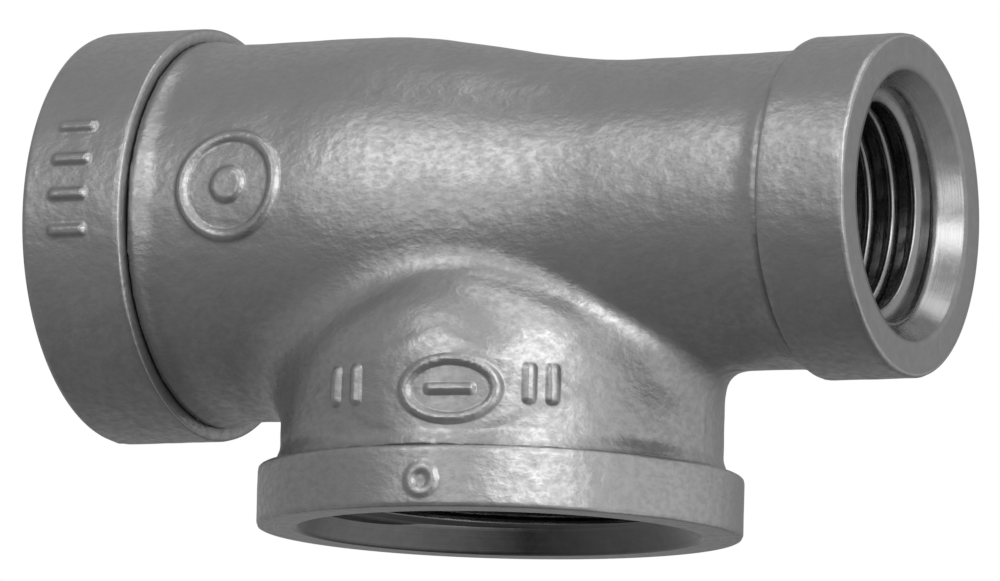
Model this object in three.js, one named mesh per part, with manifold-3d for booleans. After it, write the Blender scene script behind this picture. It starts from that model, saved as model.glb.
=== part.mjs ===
// A reducing pipe tee of galvanised malleable iron: a run with a large and a small threaded port,
// and a branch with the widest port, pointing down.
// Millimetres, +Z up. The tee stands on its branch mouth: the origin is the centre of that mouth,
// +X follows the run axis towards the small port, and -Y is the marked front.
import * as THREE from "three";
import { mergeVertices } from "three/addons/utils/BufferGeometryUtils.js";
import Module from "manifold-3d";

// Driving dimensions.
const ARM_LENGTH = 39.7; // branch axis to either run face
const AXIS_HEIGHT = 28.2; // branch mouth to run axis
const WALL = 3.1; // metal thickness of the body
const GAP = 0.3; // clearance between neighbouring regions of the casting
const ROUND = 64; // facets round a circle

// A port, measured from its face into the fitting: a raised band, then inside the crease a flare
// that fillets down to the body wall. Under them a machined chamfer and a tapered thread.
const LARGE_PORT = {
  bandR: 19,
  bandDepth: 10.1,
  flareR: 18.1,
  flareLength: 2.8,
  wallR: 17.3,
  rootR: 13.6,
  threadEnd: 14.5,
};
const SMALL_PORT = {
  bandR: 15.3,
  bandDepth: 8.4,
  flareR: 14.8,
  flareLength: 3,
  wallR: 14.1,
  rootR: 10.5,
  threadEnd: 13,
};
const BRANCH_PORT = {
  bandR: 21.9,
  bandDepth: 5.5,
  flareR: 20.8,
  flareLength: 1.8,
  wallR: 19.9,
  rootR: 16.7,
  threadEnd: 14,
};
const CHAMFER_WIDTH = 1.6; // radial width of the chamfer
const CHAMFER_DEPTH = 2.3;
const EDGE_BREAK = 0.35; // cast edge at either end of a band
const TAPER = 1 / 32; // radius lost for each millimetre of thread depth

// The thread.
const PITCH = 2.2;
const THREAD_HEIGHT = 1.3;
const THREAD_FOOT = 1.9; // width of the ridge at its root
const THREAD_CREST = 0.35; // width of the ridge at its crest
const STEPS_PER_TURN = 24;

// The body: the run narrows from the large wall to the small one either side of the branch axis,
// and the branch closes over inside the run as half an ellipsoid.
const NARROWING = { from: -12.5, to: 13.5, steps: 8 };
const DOME = { springZ: 13, rise: 15.5, steps: 12 };

// Raised cast marks, all plain: a ring and dot on the run, an oval with bars on the branch,
// tally bars on the large band and a ring on the branch band.
const MARK_HEIGHT = 0.4;
const MARK_ROOT = 1.5; // how far a mark is rooted in the wall
const SMALL_MARK_HEIGHT = 0.2;
const RUN_RING = { x: -19.6, tilt: 6, outer: 5.1, inner: 4.1, dot: 1.6 };
const BRANCH_OVAL = { z: 10.6, turn: 12.8, halfWidth: 4.6, halfHeight: 3, rim: 0.8 };
const BRANCH_BARS = { z: 11.2, turns: [-21, -14, 33, 39], width: 1, height: 3.4 };
const TALLY_BARS = { x: -35, tilts: [24, 14, 4, -6], width: 3.6, height: 0.9 };
const BAND_RING = { z: 2.3, turn: 7.8, outer: 1.4, inner: 0.7 };

const wasm = await Module();
wasm.setup();

// Geometry into a solid, and a solid back into geometry.
function toSolid(geometry) {
  geometry.deleteAttribute("normal");
  geometry.deleteAttribute("uv");
  const merged = mergeVertices(geometry, 1e-4);
  return new wasm.Manifold(
    new wasm.Mesh({
      numProp: 3,
      vertProperties: merged.attributes.position.array,
      triVerts: new Uint32Array(merged.index.array),
    }),
  );
}

function toGeometry(solid) {
  const mesh = solid.getMesh();
  const geometry = new THREE.BufferGeometry();
  geometry.setAttribute("position", new THREE.BufferAttribute(mesh.vertProperties, 3));
  geometry.setIndex(new THREE.BufferAttribute(mesh.triVerts, 1));
  geometry.computeVertexNormals();
  return geometry;
}

// A profile of [radius, height] pairs turned about +Z. Counter-clockwise profiles face out.
function turned(profile) {
  const points = profile.map(([radius, height]) => new THREE.Vector2(radius, height));
  return new THREE.LatheGeometry(points, ROUND).rotateX(Math.PI / 2);
}

// The same turned about the run axis, with height along +X.
function turnedAlongRun(profile) {
  return turned(profile).rotateY(Math.PI / 2).translate(0, 0, AXIS_HEIGHT);
}

const smoothstep = (t) => t * t * (3 - 2 * t);

// Points from one [radius, height] to another, level at both ends.
function easedPoints(from, to, steps) {
  const points = [];
  for (let i = 0; i <= steps; i++) {
    const t = i / steps;
    const radius = THREE.MathUtils.lerp(from[0], to[0], smoothstep(t));
    points.push([radius, THREE.MathUtils.lerp(from[1], to[1], t)]);
  }
  return points;
}

// Radius of the plain wall under the thread at a depth from the face.
function rootRadius(port, depth) {
  return port.rootR - (depth - CHAMFER_DEPTH) * TAPER;
}

// A port's band about +Z, its face at z = 0 and the fitting below it.
function bandProfile(port) {
  const innerEnd = -(port.bandDepth - GAP / 2);
  return [
    [port.rootR + CHAMFER_WIDTH, 0],
    [port.rootR, -CHAMFER_DEPTH],
    [rootRadius(port, port.bandDepth), innerEnd],
    [port.bandR - EDGE_BREAK, innerEnd],
    [port.bandR, innerEnd + EDGE_BREAK],
    [port.bandR, -EDGE_BREAK],
    [port.bandR - EDGE_BREAK, 0],
    [port.rootR + CHAMFER_WIDTH, 0],
  ];
}

// The fillet from the crease down to the wall, as [radius, distance from the crease] pairs.
function flarePoints(port, grow) {
  const steps = 4;
  const points = [];
  for (let i = 0; i <= steps; i++) {
    const left = 1 - i / steps;
    const radius = port.wallR + (port.flareR - port.wallR) * left * left + grow;
    points.push([radius, (port.flareLength * i) / steps]);
  }
  return points;
}

// The path of a thread's root about +Z. Its frames keep the section upright on the bore:
// the normal points at the axis.
class ThreadPath extends THREE.Curve {
  constructor(port) {
    super();
    this.port = port;
    this.start = CHAMFER_DEPTH + THREAD_FOOT / 2 + GAP;
    this.turns = (port.threadEnd - this.start) / PITCH;
  }

  getPoint(t, target = new THREE.Vector3()) {
    const depth = this.start + t * this.turns * PITCH;
    const radius = rootRadius(this.port, depth) - GAP / 2;
    const angle = -t * this.turns * 2 * Math.PI;
    return target.set(radius * Math.cos(angle), radius * Math.sin(angle), -depth);
  }

  getPointAt(t, target) {
    return this.getPoint(t, target);
  }

  computeFrenetFrames(segments) {
    const frames = { tangents: [], normals: [], binormals: [] };
    for (let i = 0; i <= segments; i++) {
      const inward = this.getPoint(i / segments).setZ(0).normalize().negate();
      const tangent = new THREE.Vector3(0, 0, -1).cross(inward).negate();
      frames.tangents.push(tangent);
      frames.normals.push(inward);
      frames.binormals.push(new THREE.Vector3().crossVectors(tangent, inward));
    }
    return frames;
  }
}

function threadGeometry(port) {
  const ridge = new THREE.Shape([
    new THREE.Vector2(0, -THREAD_FOOT / 2),
    new THREE.Vector2(THREAD_HEIGHT, -THREAD_CREST / 2),
    new THREE.Vector2(THREAD_HEIGHT, THREAD_CREST / 2),
    new THREE.Vector2(0, THREAD_FOOT / 2),
  ]);
  const path = new ThreadPath(port);
  const steps = Math.round(path.turns * STEPS_PER_TURN);
  return new THREE.ExtrudeGeometry(ridge, { extrudePath: path, steps, bevelEnabled: false });
}

// The run's outside about +X, or with grow its skin moved outwards by that much.
function runProfile(grow = 0) {
  const left = -(ARM_LENGTH - LARGE_PORT.bandDepth - GAP / 2);
  const right = ARM_LENGTH - SMALL_PORT.bandDepth - GAP / 2;
  const large = LARGE_PORT.wallR + grow;
  const small = SMALL_PORT.wallR + grow;
  const leftFlare = flarePoints(LARGE_PORT, grow).map(([radius, away]) => [radius, left + away]);
  const rightFlare = flarePoints(SMALL_PORT, grow).map(([radius, away]) => [radius, right - away]);
  const narrowing = easedPoints([large, NARROWING.from], [small, NARROWING.to], NARROWING.steps);
  return [[0, left], ...leftFlare, ...narrowing, ...rightFlare.reverse(), [0, right]];
}

// The branch's outside about +Z up to its dome, moved outwards by grow.
function branchProfile(grow = 0) {
  const crease = BRANCH_PORT.bandDepth + GAP / 2;
  const flare = flarePoints(BRANCH_PORT, grow).map(([radius, away]) => [radius, crease + away]);
  const profile = [[0, crease], ...flare];
  for (let i = 0; i <= DOME.steps; i++) {
    const angle = (i / DOME.steps) * (Math.PI / 2);
    const height = DOME.springZ + (DOME.rise + grow) * Math.sin(angle);
    const radius = i === DOME.steps ? 0 : (BRANCH_PORT.wallR + grow) * Math.cos(angle);
    profile.push([radius, height]);
  }
  return profile;
}

// The waterway: threaded stretches at the root radius, and a cast hollow between them.
function runHollowProfile() {
  const past = 1; // the cutter runs out past the body's ends
  const largeRoot = rootRadius(LARGE_PORT, LARGE_PORT.bandDepth);
  const smallRoot = rootRadius(SMALL_PORT, SMALL_PORT.bandDepth);
  const left = -(ARM_LENGTH - LARGE_PORT.bandDepth + past);
  const leftThread = -(ARM_LENGTH - LARGE_PORT.threadEnd);
  const rightThread = ARM_LENGTH - SMALL_PORT.threadEnd;
  const right = ARM_LENGTH - SMALL_PORT.bandDepth + past;
  const large = LARGE_PORT.wallR - WALL;
  const small = SMALL_PORT.wallR - WALL;
  return [
    [0, left],
    [largeRoot, left],
    [largeRoot, leftThread],
    [large, leftThread + past],
    ...easedPoints([large, NARROWING.from], [small, NARROWING.to], NARROWING.steps),
    [small, rightThread - past],
    [smallRoot, rightThread],
    [smallRoot, right],
    [0, right],
  ];
}

function branchHollowProfile() {
  const past = 1; // the cutter starts below the body's end
  const root = rootRadius(BRANCH_PORT, BRANCH_PORT.bandDepth);
  const profile = [
    [0, BRANCH_PORT.bandDepth - past],
    [root, BRANCH_PORT.bandDepth - past],
  ];
  for (let i = 0; i <= DOME.steps; i++) {
    const angle = (i / DOME.steps) * (Math.PI / 2);
    const height = DOME.springZ + (DOME.rise - WALL) * Math.sin(angle);
    profile.push([i === DOME.steps ? 0 : root * Math.cos(angle), height]);
  }
  return profile;
}

// Frames on the surface, with local z pointing out of it: on the run or its bands at a tilt up
// from -Y, and on the branch or its band at a turn from -Y towards +X.
function onRun(x, tiltDegrees, radius) {
  const tilt = THREE.MathUtils.degToRad(tiltDegrees);
  const out = new THREE.Vector3(0, -Math.cos(tilt), Math.sin(tilt));
  const up = new THREE.Vector3(0, Math.sin(tilt), Math.cos(tilt));
  const centre = new THREE.Vector3(x, 0, AXIS_HEIGHT).addScaledVector(out, radius);
  return new THREE.Matrix4().makeBasis(new THREE.Vector3(1, 0, 0), up, out).setPosition(centre);
}

function onBranch(z, turnDegrees, radius) {
  const turn = THREE.MathUtils.degToRad(turnDegrees);
  const out = new THREE.Vector3(Math.sin(turn), -Math.cos(turn), 0);
  const side = new THREE.Vector3(Math.cos(turn), Math.sin(turn), 0);
  const centre = new THREE.Vector3(0, 0, z).addScaledVector(out, radius);
  return new THREE.Matrix4().makeBasis(side, new THREE.Vector3(0, 0, 1), out).setPosition(centre);
}

// A flat outline stood on a surface frame, rooted in the wall and trimmed by the grown skin.
function raisedMark(shape, frame, skin) {
  const prism = new THREE.ExtrudeGeometry(shape, {
    depth: 2 * MARK_ROOT,
    bevelEnabled: false,
    curveSegments: 8,
  });
  prism.translate(0, 0, -MARK_ROOT).applyMatrix4(frame);
  return toSolid(prism).intersect(skin);
}

function ovalShape(halfWidth, halfHeight, rim) {
  const shape = new THREE.Shape().absellipse(0, 0, halfWidth, halfHeight, 0, 2 * Math.PI);
  if (rim < Math.min(halfWidth, halfHeight)) {
    const hole = new THREE.Path();
    hole.absellipse(0, 0, halfWidth - rim, halfHeight - rim, 0, 2 * Math.PI);
    shape.holes.push(hole);
  }
  return shape;
}

function barShape(width, height) {
  return new THREE.Shape([
    new THREE.Vector2(-width / 2, -height / 2),
    new THREE.Vector2(width / 2, -height / 2),
    new THREE.Vector2(width / 2, height / 2),
    new THREE.Vector2(-width / 2, height / 2),
  ]);
}

function bodyMarks() {
  const runSkin = toSolid(turnedAlongRun(runProfile(MARK_HEIGHT)));
  const branchSkin = toSolid(turned(branchProfile(MARK_HEIGHT)));
  const { outer, inner, dot } = RUN_RING;
  const ringFrame = onRun(RUN_RING.x, RUN_RING.tilt, LARGE_PORT.wallR);
  const oval = BRANCH_OVAL;
  const ovalFrame = onBranch(oval.z, oval.turn, BRANCH_PORT.wallR);
  const bars = BRANCH_BARS;
  return [
    raisedMark(ovalShape(outer, outer, outer - inner), ringFrame, runSkin),
    raisedMark(ovalShape(dot, dot, dot), ringFrame, runSkin),
    raisedMark(ovalShape(oval.halfWidth, oval.halfHeight, oval.rim), ovalFrame, branchSkin),
    raisedMark(barShape(oval.halfWidth, oval.rim), ovalFrame, branchSkin),
    ...bars.turns.map((turn) => {
      const frame = onBranch(bars.z, turn, BRANCH_PORT.wallR);
      return raisedMark(barShape(bars.width, bars.height), frame, branchSkin);
    }),
  ];
}

function bodySolid() {
  const shell = toSolid(turnedAlongRun(runProfile())).add(toSolid(turned(branchProfile())));
  const marked = bodyMarks().reduce((solid, mark) => solid.add(mark), shell);
  const runHollow = toSolid(turnedAlongRun(runHollowProfile()));
  const hollow = runHollow.add(toSolid(turned(branchHollowProfile())));
  return marked.subtract(hollow);
}

// A port's local frame, +Z out of the port, placed on the tee.
function portMatrix(outward, face) {
  const turn = new THREE.Quaternion().setFromUnitVectors(new THREE.Vector3(0, 0, 1), outward);
  return new THREE.Matrix4().compose(face, turn, new THREE.Vector3(1, 1, 1));
}

const runFace = (side) => new THREE.Vector3(side * ARM_LENGTH, 0, AXIS_HEIGHT);
const LARGE_FACE = portMatrix(new THREE.Vector3(-1, 0, 0), runFace(-1));
const SMALL_FACE = portMatrix(new THREE.Vector3(1, 0, 0), runFace(1));
const BRANCH_FACE = portMatrix(new THREE.Vector3(0, 0, -1), new THREE.Vector3(0, 0, 0));

function largeBandSolid() {
  const band = toSolid(turned(bandProfile(LARGE_PORT)).applyMatrix4(LARGE_FACE));
  const skinR = LARGE_PORT.bandR + MARK_HEIGHT;
  const skin = toSolid(turnedAlongRun([[0, -ARM_LENGTH], [skinR, -ARM_LENGTH], [skinR, 0], [0, 0]]));
  const bars = TALLY_BARS.tilts.map((tilt) => {
    const frame = onRun(TALLY_BARS.x, tilt, LARGE_PORT.bandR);
    return raisedMark(barShape(TALLY_BARS.width, TALLY_BARS.height), frame, skin);
  });
  return bars.reduce((solid, bar) => solid.add(bar), band);
}

function branchBandSolid() {
  const band = toSolid(turned(bandProfile(BRANCH_PORT)).applyMatrix4(BRANCH_FACE));
  const skinR = BRANCH_PORT.bandR + SMALL_MARK_HEIGHT;
  const skin = toSolid(turned([[0, 0], [skinR, 0], [skinR, AXIS_HEIGHT], [0, AXIS_HEIGHT]]));
  const frame = onBranch(BAND_RING.z, BAND_RING.turn, BRANCH_PORT.bandR);
  const ring = ovalShape(BAND_RING.outer, BAND_RING.outer, BAND_RING.outer - BAND_RING.inner);
  return band.add(raisedMark(ring, frame, skin));
}

const castIron = { color: 0x8f8f8d, roughness: 0.55, metalness: 0.85 };
const machinedIron = { color: 0xb4b4b2, roughness: 0.3, metalness: 0.95 };

function named(name, geometry, finish) {
  const mesh = new THREE.Mesh(geometry, new THREE.MeshStandardMaterial(finish));
  mesh.name = name;
  return mesh;
}

function thread(name, port, face) {
  const mesh = named(name, threadGeometry(port), machinedIron);
  mesh.applyMatrix4(face);
  return mesh;
}

const casting = new THREE.Group().add(
  named("tee_body", toGeometry(bodySolid()), castIron),
  named("large_run_band", toGeometry(largeBandSolid()), castIron),
  named("small_run_band", turned(bandProfile(SMALL_PORT)).applyMatrix4(SMALL_FACE), castIron),
  named("branch_band", toGeometry(branchBandSolid()), castIron),
);

const threads = new THREE.Group().add(
  thread("large_run_thread", LARGE_PORT, LARGE_FACE),
  thread("small_run_thread", SMALL_PORT, SMALL_FACE),
  thread("branch_thread", BRANCH_PORT, BRANCH_FACE),
);

export default new THREE.Group().add(casting, threads);
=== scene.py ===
"""A reducing pipe tee: one sand-cast, galvanised malleable-iron fitting with three threaded ports.

It stands on its branch mouth. +X is the small end of the run, -Y is the marked front, +Z is up.
Lengths inside the sections are millimetres, and meshes are written in metres.
"""
import math

import bmesh
import bpy
import numpy as np
from mathutils import Matrix, Vector


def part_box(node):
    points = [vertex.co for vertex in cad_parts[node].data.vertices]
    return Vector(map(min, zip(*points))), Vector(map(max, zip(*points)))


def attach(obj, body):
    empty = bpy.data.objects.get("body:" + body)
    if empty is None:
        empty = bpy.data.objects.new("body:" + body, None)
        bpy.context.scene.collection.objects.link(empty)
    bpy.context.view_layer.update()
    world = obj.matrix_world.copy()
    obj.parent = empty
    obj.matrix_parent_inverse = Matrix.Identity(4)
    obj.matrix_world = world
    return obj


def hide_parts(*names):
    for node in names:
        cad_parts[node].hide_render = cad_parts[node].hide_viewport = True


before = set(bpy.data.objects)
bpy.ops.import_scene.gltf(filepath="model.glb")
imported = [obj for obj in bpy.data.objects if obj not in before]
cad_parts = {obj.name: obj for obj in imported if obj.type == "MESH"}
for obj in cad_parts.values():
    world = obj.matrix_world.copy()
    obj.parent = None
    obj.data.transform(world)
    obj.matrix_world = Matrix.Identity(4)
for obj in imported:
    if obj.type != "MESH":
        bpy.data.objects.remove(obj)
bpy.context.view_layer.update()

MM = 0.001


# --- Camera ---------------------------------------------------------------------------------------
# A long lens a little below the run, turned towards the small end, so that the branch mouth
# and the small port both show their inside edges.
VIEW_TURN = math.radians(26.55)
VIEW_RISE = math.radians(-7.76)
VIEW_ROLL = math.radians(1.62)
VIEW_DISTANCE = 760
VIEW_TARGET = Vector((-0.64, 0, 22.05))
LENS = 303.8

towards_camera = Vector((
    math.sin(VIEW_TURN) * math.cos(VIEW_RISE),
    -math.cos(VIEW_TURN) * math.cos(VIEW_RISE),
    math.sin(VIEW_RISE),
))
level_right = Vector((math.cos(VIEW_TURN), math.sin(VIEW_TURN), 0))
level_up = towards_camera.cross(level_right)
right = level_right * math.cos(VIEW_ROLL) + level_up * math.sin(VIEW_ROLL)
up = level_up * math.cos(VIEW_ROLL) - level_right * math.sin(VIEW_ROLL)

camera = bpy.data.objects.new("camera", bpy.data.cameras.new("camera"))
camera.data.sensor_width = 36
camera.data.lens = LENS
camera.matrix_world = Matrix.Translation(
    (VIEW_TARGET + towards_camera * VIEW_DISTANCE) * MM
) @ Matrix((right, up, towards_camera)).transposed().to_4x4()
bpy.context.scene.collection.objects.link(camera)
bpy.context.scene.camera = camera


# --- Tee body -------------------------------------------------------------------------------------
# The middle of the casting: the run barrel, which narrows from the large port to the small one,
# and the branch that bulges from under it. Malleable iron poured in a green-sand mould, so its
# joins are filleted, its marks stand up with soft edges and its skin is never quite even.
large_low, large_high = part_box("large_run_band")
small_low, small_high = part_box("small_run_band")
branch_low, branch_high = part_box("branch_band")
ARM = small_high.x / MM
AXIS_HEIGHT = (small_low.z + small_high.z) / 2 / MM
SEAM = 0.01  # half the hairline where the body meets a band
LARGE_CREASE = -ARM + 10.1
SMALL_CREASE = ARM - 8.4
BRANCH_CREASE = 5.5

LARGE_WALL = 17.3
SMALL_WALL = 14.1
BRANCH_WALL = 19.9
LARGE_FLARE = 18.1
SMALL_FLARE = 14.8
BRANCH_FLARE = 20.8
NARROWING = (-12.5, 13.5)
DOME_SPRING = 13
DOME_RISE = 14.3
LARGE_SIDE = (-5, 15)  # where the dome sinks towards the large port, measured from the branch's axis
SMALL_SIDE = (-5, 14)  # and towards the small one
LARGE_SIDE_DROP = 2.6
SMALL_SIDE_DROP = 2.2
METAL = 3.1
CROTCH = 4.0  # reach of the fillet in the angles under the run
CREST = 2.2  # reach of the fillet where the branch's dome runs into the narrow side of the run
CREST_ALONG = (-15, 3)  # where the reach shrinks from one to the other along the run
CREST_UP = (14, 19)  # and up the branch
GROOVE_DEPTH = 0.34
GROOVE_WIDTH = 0.52
LARGE_ROOT = 13.6
SMALL_ROOT = 10.5
BRANCH_ROOT = 16.7


def smoothstep(low, high, value):
    t = np.clip((value - low) / (high - low), 0, 1)
    return t * t * (3 - 2 * t)


def soft_min(a, b, reach):
    """The lower of two fields, rounded over where they meet within reach."""
    h = np.clip(0.5 + 0.5 * (b - a) / reach, 0, 1)
    return b + (a - b) * h - reach * h * (1 - h)


def flare(distance, length, height):
    """The fillet that climbs from the wall to the crease: height at the crease, 0 past length."""
    left = np.clip(1 - distance / length, 0, 1)
    return height * left * left


def groove(distance):
    """Depth of the soft groove that the pattern leaves where a band's end meets the wall."""
    return GROOVE_DEPTH * np.exp(-((distance / GROOVE_WIDTH) ** 2))


def run_wall(x):
    """Radius of the run's outside at x."""
    wall = LARGE_WALL + (SMALL_WALL - LARGE_WALL) * smoothstep(*NARROWING, x)
    wall = wall + flare(x - LARGE_CREASE, 2.8, LARGE_FLARE - LARGE_WALL) - groove(x - LARGE_CREASE)
    return wall + flare(SMALL_CREASE - x, 3.0, SMALL_FLARE - SMALL_WALL) - groove(SMALL_CREASE - x)


def rounded_branch(x, y, z, wall, rise):
    """Distance to the branch: a cylinder, closed above its spring by a flattened dome."""
    around = np.hypot(x, y)
    rise = rise - LARGE_SIDE_DROP * smoothstep(*LARGE_SIDE, -x)
    rise = rise - SMALL_SIDE_DROP * smoothstep(*SMALL_SIDE, x)
    above = np.maximum(z - DOME_SPRING, 0)
    near = np.sqrt((around / wall) ** 2 + (above / rise) ** 2)
    slope = np.sqrt((around / wall**2) ** 2 + (above / rise**2) ** 2)
    return near * (near - 1) / np.maximum(slope, 1e-6)


# A lattice of fixed random heights, for the unevenness of the sand.
SAND = np.random.default_rng(7).random((32, 32, 32)).astype(np.float32) * 2 - 1


def sand_swell(points, size):
    """Smooth noise from -1 to 1 whose swells are about size across."""
    scaled = points / size
    cell = np.floor(scaled).astype(int)
    part = scaled - cell
    part = part * part * (3 - 2 * part)
    total = np.zeros(len(points))
    for corner in np.ndindex(2, 2, 2):
        weight = np.ones(len(points))
        for axis in range(3):
            weight = weight * (part[:, axis] if corner[axis] else 1 - part[:, axis])
        at = (cell + corner) % 32
        total += weight * SAND[at[:, 0], at[:, 1], at[:, 2]]
    return total


def skin_swell(points):
    """How far the sand-cast skin lies below its true surface, or above it where this is negative."""
    return 0.05 * sand_swell(points, 4.0) + 0.025 * sand_swell(points + 50, 1.3)


SWELL_MOST = 0.075
PARTING_HEIGHT = 0.07
PARTING_WIDTH = 0.45


def parting_line(points):
    """Height of the fettled seam where the two halves of the mould met, at y = 0."""
    worn = 0.65 + 0.35 * sand_swell(points + 90, 3.0)
    return PARTING_HEIGHT * worn * np.exp(-((points[:, 1] / PARTING_WIDTH) ** 2))


def raised(edge, height, draft=0.45):
    """Height of a cast mark from the distance inside its outline, with a sloping soft side."""
    return height * smoothstep(-draft / 2, draft / 2, edge)


def ring_edge(u, v, outer, inner):
    """Distance inside a flat ring centred on u = v = 0."""
    out = np.hypot(u, v)
    return np.minimum(outer - out, out - inner)


def oval_edge(u, v, half_width, half_height):
    return (1 - np.hypot(u / half_width, v / half_height)) * min(half_width, half_height)


def bar_edge(u, v, width, height):
    """Distance inside a bar with rounded corners."""
    corner = min(width, height) * 0.35
    beyond_u = np.maximum(np.abs(u) - width / 2 + corner, 0)
    beyond_v = np.maximum(np.abs(v) - height / 2 + corner, 0)
    return corner - np.hypot(beyond_u, beyond_v)


MARK_HEIGHT = 0.4
RING_X, RING_TILT = -19.6, math.radians(6)
OVAL_Z, OVAL_TURN = 10.6, math.radians(12.8)
BAR_Z, BAR_TURNS = 11.2, (-21, -14, 33, 39)
PAD_HEIGHT = 0.12  # the loose plate of marks let into the pattern prints as a faint raised lozenge


def body_marks(x, y, z):
    """Height of the plain raised marks: a ring and dot on the run, an oval and bars on the branch."""
    front = y < 0
    tilt = np.arctan2(z - AXIS_HEIGHT, -y) - RING_TILT
    u, v = x - RING_X, tilt * LARGE_WALL
    height = raised(ring_edge(u, v, 5.1, 4.2), MARK_HEIGHT)
    height = np.maximum(height, raised(1.6 - np.hypot(u, v), MARK_HEIGHT))
    turn = np.arctan2(x, -y)
    u, v = (turn - OVAL_TURN) * BRANCH_WALL, z - OVAL_Z
    rim = np.minimum(oval_edge(u, v, 4.6, 3.0), -oval_edge(u, v, 3.8, 2.25))
    pad = 1 - np.abs(u + 1.5) / 13.5 - np.abs(v - 0.2) / 5.6
    on_branch = raised(pad * 4, PAD_HEIGHT, draft=0.8)
    mark = raised(rim, MARK_HEIGHT)
    mark = np.maximum(mark, raised(bar_edge(u, v, 4.4, 0.8), MARK_HEIGHT))
    for degrees in BAR_TURNS:
        u = (turn - math.radians(degrees)) * BRANCH_WALL
        mark = np.maximum(mark, raised(bar_edge(u, z - BAR_Z, 1.0, 3.4), MARK_HEIGHT))
    return np.where(front, np.where(z < 17, on_branch + mark, height), 0)


def hollow_radius(x):
    """Radius of the waterway along the run: thread root by the ports, cast hollow between."""
    large, small = LARGE_WALL - METAL, SMALL_WALL - METAL
    hollow = large + (small - large) * smoothstep(*NARROWING, x)
    hollow = hollow + (LARGE_ROOT - 0.3 - large) * (1 - smoothstep(-ARM + 14.5, -ARM + 15.7, x))
    return hollow + (SMALL_ROOT - 0.2 - small) * smoothstep(ARM - 14.2, ARM - 13, x)


def body_field(points, marks=True):
    """Signed distance to the body casting: negative in the metal."""
    x, y, z = points.T
    off_axis = np.hypot(y, z - AXIS_HEIGHT)
    run = off_axis - run_wall(x)
    branch_wall = BRANCH_WALL + flare(z - BRANCH_CREASE, 1.8, BRANCH_FLARE - BRANCH_WALL)
    branch_wall = branch_wall - groove(z - BRANCH_CREASE)
    branch = rounded_branch(x, y, z, branch_wall, DOME_RISE)
    crest = CREST + (CROTCH - CREST) * (1 - smoothstep(*CREST_ALONG, x))
    outside = soft_min(run, branch, CROTCH + (crest - CROTCH) * smoothstep(*CREST_UP, z))
    if marks:
        outside = outside - body_marks(x, y, z)
        outside = outside + skin_swell(points)
        outside = outside - parting_line(points)
    way = off_axis - hollow_radius(x)
    mouth = rounded_branch(x, y, z, BRANCH_ROOT - 0.1, DOME_RISE - METAL)
    hollow = soft_min(way, mouth, 2.0)
    ends = np.maximum(LARGE_CREASE + SEAM - x, x - SMALL_CREASE + SEAM)
    ends = np.maximum(ends, BRANCH_CREASE + SEAM - z)
    return np.maximum(np.maximum(outside, -hollow), ends)


def graded(low, high, creases, coarse=0.56, fine=0.12):
    """Grid lines from low to high, closer together near each crease."""
    lines = [low]
    while lines[-1] < high:
        away = min(abs(lines[-1] - crease) for crease in creases)
        lines.append(lines[-1] + min(coarse, fine + 0.2 * max(away - 0.4, 0)))
    return np.array(lines)


def surface_nets(field, axes):
    """A quad mesh of where field crosses zero on a grid: one vertex for each crossed cell."""
    shape = tuple(len(axis) for axis in axes)
    nodes = np.stack(np.meshgrid(*axes, indexing="ij"), -1).reshape(-1, 3)
    value = field(nodes).reshape(shape)
    cells = tuple(n - 1 for n in shape)
    total = np.zeros(cells + (3,))
    count = np.zeros(cells)
    corners = list(np.ndindex(2, 2, 2))

    def at(corner):
        return value[tuple(slice(c, c + n) for c, n in zip(corner, cells))]

    for a in corners:
        for axis in range(3):
            if a[axis]:
                continue
            b = tuple(c + (i == axis) for i, c in enumerate(a))
            va, vb = at(a), at(b)
            crossed = (va < 0) != (vb < 0)
            along = np.where(crossed, va / np.where(crossed, va - vb, 1), 0)
            for i in range(3):
                total[..., i] += np.where(crossed, a[i] + (along if i == axis else 0), 0)
            count += crossed
    used = count > 0
    index = np.full(cells, -1)
    index[used] = np.arange(used.sum())
    where = np.argwhere(used)
    inside = where + total[used] / count[used][:, None]
    lines = [np.interp(inside[:, i], np.arange(len(axis)), axis) for i, axis in enumerate(axes)]
    verts = np.stack(lines, -1)
    quads = []
    for axis in range(3):
        u, v = (axis + 1) % 3, (axis + 2) % 3
        inner = [slice(1, -1)] * 3
        inner[axis] = slice(0, cells[axis])
        ahead = list(inner)
        ahead[axis] = slice(1, cells[axis] + 1)
        start, end = value[tuple(inner)] < 0, value[tuple(ahead)] < 0
        for leaving in (True, False):
            edge = np.argwhere(start & ~end if leaving else ~start & end)
            edge[:, u] += 1
            edge[:, v] += 1
            around = []
            for du, dv in ((0, 0), (1, 0), (1, 1), (0, 1)):
                cell = edge.copy()
                cell[:, u] -= 1 - du
                cell[:, v] -= 1 - dv
                around.append(index[tuple(cell.T)])
            quads.append(np.stack(around if leaving else around[::-1], -1))
    return verts, np.concatenate(quads)


def settle(field, verts, rounds=4):
    """Moves each vertex along the field's slope onto its zero surface."""
    small = 0.02
    for _ in range(rounds):
        slope = np.empty_like(verts)
        for axis in range(3):
            shift = np.zeros(3)
            shift[axis] = small
            slope[:, axis] = (field(verts + shift) - field(verts - shift)) / (2 * small)
        steep = np.maximum((slope**2).sum(1), 0.25)
        move = -(field(verts) / steep)[:, None] * slope
        verts = verts + np.clip(move, -0.3, 0.3)
    return verts


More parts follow.
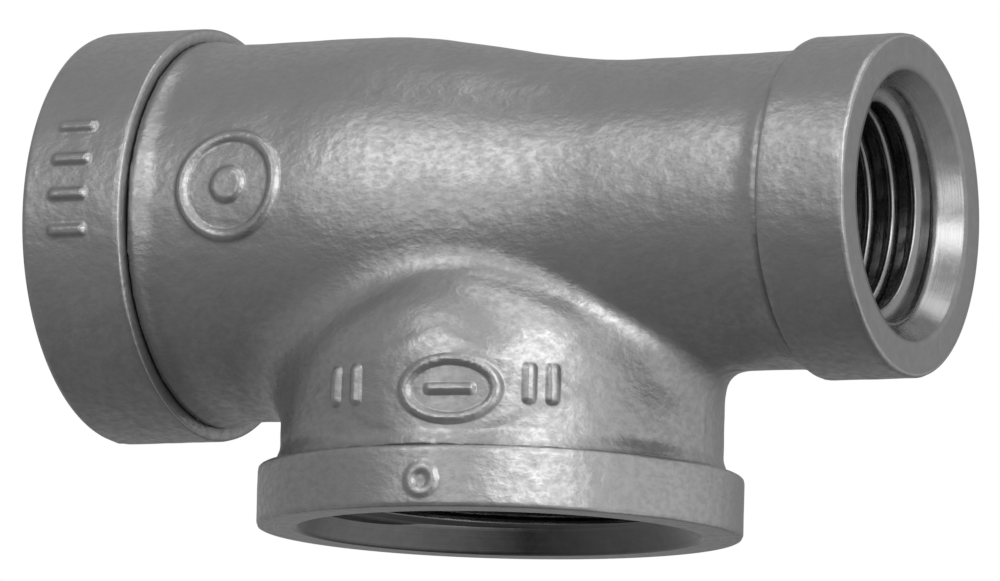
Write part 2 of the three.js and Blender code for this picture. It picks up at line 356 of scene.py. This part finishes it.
def refined(verts, faces, wanted, cuts):
    """Cuts the faces whose centres are wanted into smaller ones, and fits their neighbours to them."""
    mesh = bpy.data.meshes.new("refining")
    mesh.from_pydata(verts.tolist(), [], faces.tolist())
    shape = bmesh.new()
    shape.from_mesh(mesh)
    bpy.data.meshes.remove(mesh)
    near = wanted(verts[faces].mean(1))
    shape.faces.ensure_lookup_table()
    edges = {edge for i in np.flatnonzero(near) for edge in shape.faces[i].edges}
    bmesh.ops.subdivide_edges(shape, edges=list(edges), cuts=cuts, use_grid_fill=True)
    shape.verts.index_update()
    new_verts = np.array([vert.co for vert in shape.verts])
    new_faces = [[vert.index for vert in face.verts] for face in shape.faces]
    shape.free()
    return new_verts, new_faces


def by_a_mark(centres):
    """True for the faces under the raised marks of the body's front."""
    x, y, z = centres.T
    outside = np.hypot(x, y) > BRANCH_WALL - 1
    turn = np.degrees(np.arctan2(x, -y))
    on_branch = outside & (y < 0) & (np.abs(z - 10.8) < 4.8) & (turn > -31) & (turn < 50)
    off_axis = np.hypot(y, z - AXIS_HEIGHT)
    tilt = np.arctan2(z - AXIS_HEIGHT, -y) - RING_TILT
    on_run = (np.hypot(x - RING_X, tilt * LARGE_WALL) < 6.2) & (off_axis > LARGE_WALL - 1)
    return on_branch | on_run


def new_piece(name, verts, faces, finishes, slots=None):
    """A smooth mesh piece from millimetre points. slots gives each face's finish by number."""
    mesh = bpy.data.meshes.new(name)
    mesh.from_pydata((np.asarray(verts) * MM).tolist(), [], [list(map(int, f)) for f in faces])
    mesh.validate()
    for finish in finishes:
        mesh.materials.append(finish)
    if slots is not None:
        mesh.polygons.foreach_set("material_index", np.asarray(slots, dtype=np.int32))
    mesh.polygons.foreach_set("use_smooth", [True] * len(mesh.polygons))
    piece = bpy.data.objects.new(name, mesh)
    bpy.context.scene.collection.objects.link(piece)
    return piece


def linear(hex_colour):
    """An sRGB hex colour as the linear RGBA that a shader takes."""
    channels = [int(hex_colour[i : i + 2], 16) / 255 for i in (1, 3, 5)]
    return [c / 12.92 if c <= 0.04045 else ((c + 0.055) / 1.055) ** 2.4 for c in channels] + [1]


def add_node(tree, kind, settings=None, inputs=None):
    """Adds a node, sets its properties and fills its sockets with numbers or other nodes' outputs."""
    node = tree.nodes.new(kind)
    for name, value in (settings or {}).items():
        setattr(node, name, value)
    for name, value in (inputs or {}).items():
        if isinstance(value, bpy.types.NodeSocket):
            tree.links.new(value, node.inputs[name])
        else:
            node.inputs[name].default_value = value
    return node


def per_metre(size_mm):
    """Noise scale for a pattern whose features are size_mm across, in object coordinates."""
    return 1 / (size_mm * MM)


# Hot-dip galvanised malleable iron as cast: dull zinc grey over a sand-textured skin. Light breaks
# up into small flecks on the sand grain, and the hollows are painted darker as painted shade.
def galvanised_cast_iron():
    finish = bpy.data.materials.new("galvanised malleable iron, sand cast")
    finish.use_nodes = True
    tree = finish.node_tree
    tree.nodes.clear()
    place = add_node(tree, "ShaderNodeTexCoord").outputs["Object"]

    # Sand grain is 0.1 to 0.2 mm. Its largest features are drawn 0.8 mm long and 0.55 mm high, about
    # four times as coarse, so that they show. The zinc drained along the run, so they lie that way.
    drained = add_node(
        tree, "ShaderNodeMapping", inputs={"Vector": place, "Scale": (0.42, 0.42, 0.62)}
    ).outputs["Vector"]
    grain = add_node(
        tree,
        "ShaderNodeTexNoise",
        inputs={"Vector": drained, "Scale": per_metre(0.34), "Detail": 3, "Roughness": 0.62},
    ).outputs["Fac"]
    pits = add_node(
        tree,
        "ShaderNodeTexVoronoi",
        {"feature": "SMOOTH_F1"},
        {"Vector": drained, "Scale": per_metre(0.75), "Smoothness": 0.6, "Randomness": 1.0},
    ).outputs["Distance"]
    lumps = add_node(
        tree,
        "ShaderNodeTexNoise",
        inputs={"Vector": place, "Scale": per_metre(1.5), "Detail": 2, "Roughness": 0.5},
    ).outputs["Fac"]
    cloud = add_node(
        tree,
        "ShaderNodeTexNoise",
        inputs={"Vector": place, "Scale": per_metre(8), "Detail": 4, "Roughness": 0.6},
    ).outputs["Fac"]

    # Painted shade in the hollows: where the AO finds metal close by, the colour is painted darker.
    shelter = add_node(
        tree, "ShaderNodeAmbientOcclusion", {"samples": 3}, {"Distance": 1.1 * MM}
    ).outputs["AO"]
    hollow = add_node(
        tree,
        "ShaderNodeMapRange",
        inputs={"Value": shelter, "From Min": 0.86, "From Max": 0.4},
    ).outputs["Result"]

    zinc = add_node(
        tree,
        "ShaderNodeMix",
        {"data_type": "RGBA"},
        {"Factor": cloud, "A": linear("#9c9c9c"), "B": linear("#b0b0b0")},
    ).outputs["Result"]
    speckle = add_node(
        tree,
        "ShaderNodeMapRange",
        inputs={"Value": grain, "From Min": 0.36, "From Max": 0.62, "To Min": 0.3, "To Max": 0.0},
    ).outputs["Result"]
    speckled = add_node(
        tree,
        "ShaderNodeMix",
        {"data_type": "RGBA"},
        {"Factor": speckle, "A": zinc, "B": linear("#7a7a7a")},
    ).outputs["Result"]
    # Painted shade: in the hollows the colour goes towards dark grey.
    zinc_with_painted_shade = add_node(
        tree,
        "ShaderNodeMix",
        {"data_type": "RGBA"},
        {"Factor": hollow, "A": speckled, "B": linear("#555555")},
    ).outputs["Result"]
    rough = add_node(
        tree,
        "ShaderNodeMapRange",
        inputs={"Value": grain, "From Min": 0.35, "From Max": 0.65, "To Min": 0.42, "To Max": 0.28},
    ).outputs["Result"]
    lump_bump = add_node(
        tree, "ShaderNodeBump", inputs={"Height": lumps, "Distance": 0.1 * MM, "Strength": 0.6}
    ).outputs["Normal"]
    pit_bump = add_node(
        tree,
        "ShaderNodeBump",
        inputs={"Height": pits, "Distance": 0.05 * MM, "Strength": 0.4, "Normal": lump_bump},
    ).outputs["Normal"]
    grain_bump = add_node(
        tree,
        "ShaderNodeBump",
        inputs={"Height": grain, "Distance": 0.06 * MM, "Strength": 0.8, "Normal": pit_bump},
    ).outputs["Normal"]
    shader = add_node(
        tree,
        "ShaderNodeBsdfPrincipled",
        inputs={"Base Color": zinc_with_painted_shade, "Metallic": 0.88, "Roughness": rough, "Normal": grain_bump},
    )
    add_node(tree, "ShaderNodeOutputMaterial", inputs={"Surface": shader.outputs["BSDF"]})
    return finish


cast_skin = galvanised_cast_iron()
grid = (
    graded(LARGE_CREASE - 1, SMALL_CREASE + 1, (LARGE_CREASE, SMALL_CREASE)),
    graded(-BRANCH_FLARE - 1.5, BRANCH_FLARE + 1.5, (0,)),
    graded(BRANCH_CREASE - 1, AXIS_HEIGHT + LARGE_FLARE + 1.5, (BRANCH_CREASE,)),
)
net, net_faces = surface_nets(lambda points: body_field(points, marks=False), grid)
net, net_faces = refined(net, net_faces, by_a_mark, cuts=2)
body = new_piece("tee_body_casting", settle(body_field, net), net_faces, [cast_skin])
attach(body, "root")
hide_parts("tee_body")


# --- Port bands -----------------------------------------------------------------------------------
# The thick bead cast round each port to carry the thread. Its outside is the same sand-cast skin.
# Its face, chamfer and bore are turned on a lathe after galvanising, so they are bare iron. The
# branch's copy of that iron is painted darker than the run's, as painted shade inside the mouth.
def machined_iron(name, dark, light, axis_height=None):
    """Bare turned iron ringed round the run's axis, where its height is given, or the branch's."""
    finish = bpy.data.materials.new(name)
    finish.use_nodes = True
    tree = finish.node_tree
    tree.nodes.clear()
    place = add_node(tree, "ShaderNodeTexCoord").outputs["Object"]
    centred = add_node(
        tree,
        "ShaderNodeVectorMath",
        {"operation": "SUBTRACT"},
        {0: place, 1: (0, 0, (axis_height or 0) * MM)},
    ).outputs["Vector"]
    parts = add_node(tree, "ShaderNodeSeparateXYZ", inputs={"Vector": centred}).outputs
    along = parts["X"] if axis_height else parts["Z"]
    across = (parts["Y"], parts["Z"]) if axis_height else (parts["X"], parts["Y"])
    radial = add_node(tree, "ShaderNodeCombineXYZ", inputs={"X": across[0], "Y": across[1]})
    radius = add_node(
        tree, "ShaderNodeVectorMath", {"operation": "LENGTH"}, {0: radial.outputs["Vector"]}
    ).outputs["Value"]

    # The tool's feed marks are 0.1 mm apart; they are drawn at twice that so that they show.
    feed = add_node(tree, "ShaderNodeCombineXYZ", inputs={"X": radius, "Y": along}).outputs["Vector"]
    rings = add_node(
        tree,
        "ShaderNodeTexNoise",
        inputs={"Vector": feed, "Scale": per_metre(0.2), "Detail": 2, "Roughness": 0.6},
    ).outputs["Fac"]
    chatter = add_node(
        tree,
        "ShaderNodeTexNoise",
        inputs={"Vector": place, "Scale": per_metre(1.2), "Detail": 4, "Roughness": 0.6},
    ).outputs["Fac"]
    broken = add_node(
        tree, "ShaderNodeMath", {"operation": "MULTIPLY"}, {0: rings, 1: chatter}
    ).outputs["Value"]
    colour = add_node(
        tree,
        "ShaderNodeMix",
        {"data_type": "RGBA"},
        {"Factor": chatter, "A": linear(dark), "B": linear(light)},
    ).outputs["Result"]
    rough = add_node(
        tree,
        "ShaderNodeMapRange",
        inputs={"Value": broken, "From Min": 0.15, "From Max": 0.4, "To Min": 0.2, "To Max": 0.32},
    ).outputs["Result"]
    cut = add_node(
        tree, "ShaderNodeBump", inputs={"Height": rings, "Distance": 0.02 * MM, "Strength": 0.8}
    ).outputs["Normal"]
    uneven = add_node(
        tree,
        "ShaderNodeBump",
        inputs={"Height": chatter, "Distance": 0.03 * MM, "Strength": 0.6, "Normal": cut},
    ).outputs["Normal"]
    shader = add_node(
        tree,
        "ShaderNodeBsdfPrincipled",
        inputs={"Base Color": colour, "Metallic": 1.0, "Roughness": rough, "Normal": uneven},
    )
    add_node(tree, "ShaderNodeOutputMaterial", inputs={"Surface": shader.outputs["BSDF"]})
    return finish


turned_run_iron = machined_iron("machined malleable iron, run", "#828282", "#9c9c9c", AXIS_HEIGHT)
# The branch's iron is the same iron painted darker: painted shade for the mouth, which faces down.
turned_branch_iron_painted_shade = machined_iron("machined malleable iron, branch, painted shade", "#686868", "#828282")
CHAMFER_WIDTH = 1.6
CHAMFER_DEPTH = 2.3
TAPER = 1 / 32
BAND_STEP = math.radians(1)
FINE_STEP = math.radians(0.5)


def port_frame(outward, face):
    """Turns points written about a port's own axis, +z out of its mouth, into the tee's frame."""
    turn = Vector((0, 0, 1)).rotation_difference(Vector(outward)).to_matrix()
    return np.array(turn), np.array(face)


def arc(centre, radius, start, end, steps=5):
    """Points of an arc in a radius-depth profile, angles in degrees."""
    angles = np.radians(np.linspace(start, end, steps))
    return [(centre[0] + radius * math.cos(a), centre[1] + radius * math.sin(a)) for a in angles]


def stretched(start, end, longest):
    """Points from start to end, no further apart than longest, without the last."""
    count = max(1, math.ceil(math.dist(start, end) / longest))
    return [tuple(np.array(start) + (np.array(end) - start) * i / count) for i in range(count)]


def steps_round(middle, half_arc):
    """Angles once round a ring, closer together within half_arc of the middle one."""
    if not half_arc:
        return np.arange(0, 2 * math.pi - BAND_STEP / 2, BAND_STEP)
    fine = np.arange(-half_arc, half_arc, FINE_STEP)
    steps = round((2 * math.pi - 2 * half_arc) / BAND_STEP)
    rest = np.linspace(half_arc, 2 * math.pi - half_arc, steps + 1)
    return middle + np.concatenate([fine, rest[:-1]])


def band(name, node, port, outward, face, marks=None, marked_way=(0, -1, 0), half_arc=0):
    """A closed turned ring: cast outside, machined face, chamfer and bore."""
    radius, depth, root = port["radius"], port["depth"], port["root"]
    inner_end = -(depth - SEAM)
    bore_end = root - (depth - CHAMFER_DEPTH) * TAPER
    lip = port["lip"]
    outline = []
    finish_of = []

    def run(points, finish):
        outline.extend(points)
        finish_of.extend([finish] * len(points))

    run(stretched((root + CHAMFER_WIDTH, 0), (root, -CHAMFER_DEPTH), 0.4), 1)
    run(stretched((root, -CHAMFER_DEPTH), (bore_end, inner_end), 0.8), 1)
    run(stretched((bore_end, inner_end), (radius - lip, inner_end), 1.0), 0)
    run(arc((radius - lip, inner_end + lip), lip, -90, 0, 6)[:-1], 0)
    run(stretched((radius, inner_end + lip), (radius, -0.45), 0.22 if marks else 0.45), 0)
    run(arc((radius - 0.45, -0.45), 0.45, 0, 90, 6)[:-1], 0)
    run(stretched((radius - 0.45, 0), (root + CHAMFER_WIDTH, 0), 0.5), 1)
    outline = np.array(outline)
    rows = len(outline)
    turn, origin = port_frame(outward, face)
    sideways = np.array(marked_way) @ turn
    angles = steps_round(math.atan2(sideways[1], sideways[0]), half_arc)
    columns = len(angles)
    verts = np.empty((columns, rows, 3))
    verts[..., 0] = outline[None, :, 0] * np.cos(angles)[:, None]
    verts[..., 1] = outline[None, :, 0] * np.sin(angles)[:, None]
    verts[..., 2] = outline[None, :, 1]
    outward_at = np.stack([np.cos(angles), np.sin(angles), np.zeros(columns)], -1)
    placed = verts.reshape(-1, 3) @ turn.T + origin
    push = np.repeat(outward_at, rows, 0) @ turn.T
    on_outside = (np.array(finish_of) == 0) & (outline[:, 0] > radius - 0.1)
    is_cast = np.tile(on_outside, columns)
    lift = np.minimum(parting_line(placed) - skin_swell(placed) - SWELL_MOST, 0)
    if marks is not None:
        lift = lift + marks(placed)
    placed = placed + push * (lift * is_cast)[:, None]
    faces, slots = [], []
    for i in range(columns):
        j = (i + 1) % columns
        for k in range(rows):
            m = (k + 1) % rows
            faces.append((i * rows + k, j * rows + k, j * rows + m, i * rows + m))
            slots.append(finish_of[k])
    piece = new_piece(name, placed, faces, [cast_skin, port["iron"]], slots)
    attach(piece, "root")
    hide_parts(node)
    return piece


LARGE_PORT = {
    "radius": 19.0, "depth": 10.1, "root": LARGE_ROOT, "thread_end": 14.5, "lip": 0.55,
    "iron": turned_run_iron,
}
SMALL_PORT = {
    "radius": 15.3, "depth": 8.4, "root": SMALL_ROOT, "thread_end": 13, "lip": 0.4,
    "iron": turned_run_iron,
}
BRANCH_PORT = {
    "radius": 21.9, "depth": 5.5, "root": BRANCH_ROOT, "thread_end": 14, "lip": 0.55,
    "iron": turned_branch_iron_painted_shade,
}
LARGE_AT = ((-1, 0, 0), (-ARM, 0, AXIS_HEIGHT))
SMALL_AT = ((1, 0, 0), (ARM, 0, AXIS_HEIGHT))
BRANCH_AT = ((0, 0, -1), (0, 0, 0))


TALLY_X = -35
TALLY_TILTS = (24, 14, 4, -6)


def tally_bars(points):
    """Four plain bars across the front of the large band."""
    x, y, z = points.T
    tilt = np.degrees(np.arctan2(z - AXIS_HEIGHT, -y))
    height = np.zeros(len(points))
    for degrees in TALLY_TILTS:
        v = np.radians(tilt - degrees) * LARGE_PORT["radius"]
        height = np.maximum(height, raised(bar_edge(x - TALLY_X, v, 3.6, 0.9), MARK_HEIGHT))
    return height


CAVITY_TURN = math.radians(7.8)
CAVITY_Z = 2.4
CAVITY_HEIGHT = 0.24


def cavity_ring(points):
    """A small plain ring on the front of the branch band."""
    x, y, z = points.T
    u = (np.arctan2(x, -y) - CAVITY_TURN) * BRANCH_PORT["radius"]
    return raised(ring_edge(u, z - CAVITY_Z, 1.5, 0.7), CAVITY_HEIGHT)


band("large_run_band_casting", "large_run_band", LARGE_PORT, *LARGE_AT, tally_bars,
     marked_way=(0, -0.987, 0.16), half_arc=0.42)
band("small_run_band_casting", "small_run_band", SMALL_PORT, *SMALL_AT)
band("branch_band_casting", "branch_band", BRANCH_PORT, *BRANCH_AT, cavity_ring,
     marked_way=(0.136, -0.99, 0), half_arc=0.1)


# --- Threads --------------------------------------------------------------------------------------
# Tapered pipe thread, tapped after the bore is turned: a right-hand ridge that starts in the
# chamfer, narrows with the bore and runs out where the tap's lead stopped.
PITCH = 2.2
THREAD_HEIGHT = 1.3
THREAD_CREST = 0.3
TURN_STEPS = 120


def thread(name, node, port, outward, face):
    start = CHAMFER_DEPTH - PITCH / 2
    turns = (port["thread_end"] - start) / PITCH
    steps = round(turns * TURN_STEPS)
    along = np.arange(steps + 1) / steps * turns
    fade = smoothstep(0, 0.8, turns - along)
    depth = start + along * PITCH
    half = PITCH / 2
    section = ((0, -half), (0.9, -THREAD_CREST / 2 - 0.1), (1, -THREAD_CREST / 2), (1, THREAD_CREST / 2),
               (0.9, THREAD_CREST / 2 + 0.1), (0, half))
    verts = []
    for inward, offset in section:
        past_chamfer = depth + offset - CHAMFER_DEPTH
        cone = np.maximum(-past_chamfer, 0) * CHAMFER_WIDTH / CHAMFER_DEPTH
        wall = port["root"] - np.maximum(past_chamfer, 0) * TAPER + cone + 0.08
        emerged = np.clip(past_chamfer * 1.8, 0, THREAD_HEIGHT)
        radius = wall - np.minimum(inward * THREAD_HEIGHT * fade, emerged)
        verts.append(np.stack([radius, -(along + 0.5) * 2 * math.pi, -(depth + offset)], -1))
    verts = np.stack(verts, 1)
    flat = verts.reshape(-1, 3)
    points = np.stack([flat[:, 0] * np.cos(flat[:, 1]), flat[:, 0] * np.sin(flat[:, 1]), flat[:, 2]], -1)
    turn, origin = port_frame(outward, face)
    count = len(section)
    faces = [tuple(range(count)), tuple(steps * count + k for k in reversed(range(count)))]
    for i in range(steps):
        for k in range(count):
            m = (k + 1) % count
            faces.append((i * count + m, i * count + k, (i + 1) * count + k, (i + 1) * count + m))
    piece = new_piece(name, points @ turn.T + origin, faces, [port["iron"]])
    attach(piece, "root")
    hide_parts(node)


thread("large_run_thread_ridge", "large_run_thread", LARGE_PORT, *LARGE_AT)
thread("small_run_thread_ridge", "small_run_thread", SMALL_PORT, *SMALL_AT)
thread("branch_thread_ridge", "branch_thread", BRANCH_PORT, *BRANCH_AT)


# --- Floor ----------------------------------------------------------------------------------------
# A pale matt floor just under the branch mouth, part of the studio and not of the tee. Seen from
# below it is clear, so the mouth stays in view.
def pale_floor():
    finish = bpy.data.materials.new("pale floor")
    finish.use_nodes = True
    tree = finish.node_tree
    tree.nodes.clear()
    shader = add_node(
        tree,
        "ShaderNodeBsdfPrincipled",
        inputs={"Base Color": linear("#f2f2f2"), "Roughness": 0.8},
    ).outputs["BSDF"]
    clear = add_node(tree, "ShaderNodeBsdfTransparent").outputs["BSDF"]
    under = add_node(tree, "ShaderNodeNewGeometry").outputs["Backfacing"]
    mixed = add_node(tree, "ShaderNodeMixShader", inputs={0: under, 1: shader, 2: clear})
    add_node(tree, "ShaderNodeOutputMaterial", inputs={"Surface": mixed.outputs[0]})
    return finish


FLOOR_HALF = 900
FLOOR_GAP = 0.02
floor = new_piece(
    "floor",
    [(x * FLOOR_HALF, y * FLOOR_HALF, -FLOOR_GAP) for x, y in ((-1, -1), (1, -1), (1, 1), (-1, 1))],
    [(0, 1, 2, 3)],
    [pale_floor()],
)
floor.visible_diffuse = False
floor.visible_glossy = False
floor.visible_transmission = False
floor.visible_shadow = False


# --- Light ----------------------------------------------------------------------------------------
# Two disk lights above the front, the stronger towards the small port and the weaker towards the
# large one, in a dim room whose soft boxes show as the broad highlights in the metal.
def area_light(name, turn, rise, distance, size, power):
    data = bpy.data.lights.new(name, "AREA")
    data.shape = "DISK"
    data.size = size * MM
    data.energy = power
    light = bpy.data.objects.new(name, data)
    turn, rise = math.radians(turn), math.radians(rise)
    away = Vector((math.sin(turn) * math.cos(rise), -math.cos(turn) * math.cos(rise), math.sin(rise)))
    light.location = (VIEW_TARGET + away * distance) * MM
    light.rotation_euler = away.to_track_quat("Z", "Y").to_euler()
    bpy.context.scene.collection.objects.link(light)


area_light("key", 48, 34, 140, 50, 0.02)
area_light("second", -15, 46, 140, 60, 0.010)

# The room as seen in the metal: each wall's glow, then each soft box as (turn, rise, strength).
WALLS = (((1, 0, 0), 0.85), ((-1, 0, 0), 0.32), ((0, 0, 1), 0.24), ((0, -1, 0), 0.12), ((0, 1, 0), 0.2))
SOFT_BOXES = (
    (-8, 30, 2.4), (-20, 15, 0.7), (-3, 0, 1.3),
    (31, 15, 2.6), (50, 17, 2.6), (54, -12, 1.8),
    (41, 62, 1.2), (24, 88, 1.4), (100, 70, 1.6),
)
BOX_EDGE = math.cos(math.radians(16))
BOX_CORE = math.cos(math.radians(5.6))

world = bpy.data.worlds.new("room")
world.use_nodes = True
tree = world.node_tree
tree.nodes.clear()
direction = add_node(tree, "ShaderNodeTexCoord").outputs["Generated"]
glow = 0.02


def facing(way):
    """How far a ray runs along way, from -1 to 1."""
    return add_node(
        tree, "ShaderNodeVectorMath", {"operation": "DOT_PRODUCT"}, {0: direction, 1: way}
    ).outputs["Value"]


def add_glow(amount, strength):
    """Adds amount times strength to the room's glow so far."""
    return add_node(
        tree, "ShaderNodeMath", {"operation": "MULTIPLY_ADD"}, {0: amount, 1: strength, 2: glow}
    ).outputs["Value"]


for way, strength in WALLS:
    lit = add_node(tree, "ShaderNodeClamp", inputs={"Value": facing(way)}).outputs["Result"]
    glow = add_glow(lit, strength)
for turn, rise, strength in SOFT_BOXES:
    turn, rise = math.radians(turn), math.radians(rise)
    way = (math.sin(turn) * math.cos(rise), -math.cos(turn) * math.cos(rise), math.sin(rise))
    lit = add_node(
        tree,
        "ShaderNodeMapRange",
        {"interpolation_type": "SMOOTHSTEP"},
        {"Value": facing(way), "From Min": BOX_EDGE, "From Max": BOX_CORE},
    ).outputs["Result"]
    glow = add_glow(lit, strength)
room = add_node(tree, "ShaderNodeBackground", inputs={"Color": (1, 1, 1, 1), "Strength": glow})
backdrop = add_node(tree, "ShaderNodeBackground", inputs={"Color": (1, 1, 1, 1), "Strength": 1.0})
seen = add_node(tree, "ShaderNodeLightPath").outputs["Is Camera Ray"]
both = add_node(
    tree, "ShaderNodeMixShader", inputs={0: seen, 1: room.outputs[0], 2: backdrop.outputs[0]}
)
add_node(tree, "ShaderNodeOutputWorld", inputs={"Surface": both.outputs[0]})
bpy.context.scene.world = world
bpy.context.scene.view_settings.view_transform = "Standard"
